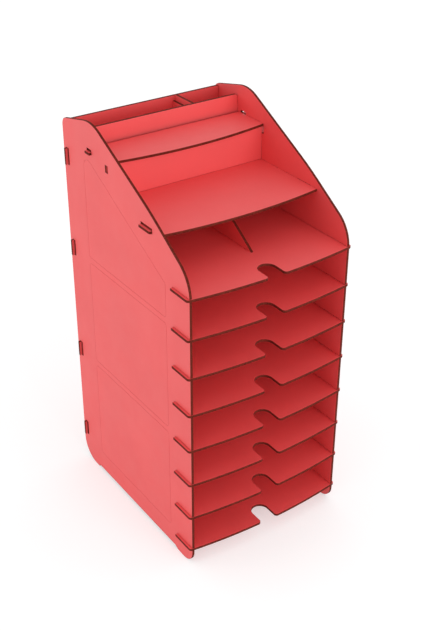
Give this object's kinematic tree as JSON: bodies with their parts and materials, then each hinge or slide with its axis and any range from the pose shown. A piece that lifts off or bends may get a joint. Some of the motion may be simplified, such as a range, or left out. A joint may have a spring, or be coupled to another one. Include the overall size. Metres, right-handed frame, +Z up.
{
  "type": "desktop document rack",
  "caption": "Tall desktop paper rack: shaped side boards and a back carry a column of pull-out trays under a stepped top with memo shelves and a pen box.",
  "frame": {"origin": "middle of the object's box at the table surface, under the rack", "axes": "+X to the rack's right as one faces its open front, +Y from the front to the back, +Z up"},
  "size_m": [0.2572, 0.3172, 0.5783],
  "materials": {
    "red_board": "satin red lacquer on flat board, with laser-burnt dark brown edges"
  },
  "bodies": {
    "rack": {"left_side": "red_board", "right_side": "red_board", "back_panel": "red_board", "memo_shelf": "red_board", "riser": "red_board", "narrow_shelf": "red_board", "pen_front_wall": "red_board", "pen_divider": "red_board", "pen_partition": "red_board", "compartment_divider": "red_board"},
    "tray_1": {"tray_1": "red_board"},
    "tray_2": {"tray_2": "red_board"},
    "tray_3": {"tray_3": "red_board"},
    "tray_4": {"tray_4": "red_board"},
    "tray_5": {"tray_5": "red_board"},
    "tray_6": {"tray_6": "red_board"},
    "tray_7": {"tray_7": "red_board"},
    "tray_8": {"tray_8": "red_board"}
  },
  "joints": [
    {"name": "tray_1_slide", "type": "slide", "parent": "rack", "child": "tray_1", "axis": [0, -1, 0], "range_m": [0, 0.31]},
    {"name": "tray_2_slide", "type": "slide", "parent": "rack", "child": "tray_2", "axis": [0, -1, 0], "range_m": [0, 0.31]},
    {"name": "tray_3_slide", "type": "slide", "parent": "rack", "child": "tray_3", "axis": [0, -1, 0], "range_m": [0, 0.31]},
    {"name": "tray_4_slide", "type": "slide", "parent": "rack", "child": "tray_4", "axis": [0, -1, 0], "range_m": [0, 0.31]},
    {"name": "tray_5_slide", "type": "slide", "parent": "rack", "child": "tray_5", "axis": [0, -1, 0], "range_m": [0, 0.31]},
    {"name": "tray_6_slide", "type": "slide", "parent": "rack", "child": "tray_6", "axis": [0, -1, 0], "range_m": [0, 0.31]},
    {"name": "tray_7_slide", "type": "slide", "parent": "rack", "child": "tray_7", "axis": [0, -1, 0], "range_m": [0, 0.31]},
    {"name": "tray_8_slide", "type": "slide", "parent": "rack", "child": "tray_8", "axis": [0, -1, 0], "range_m": [0, 0.31]}
  ]
}
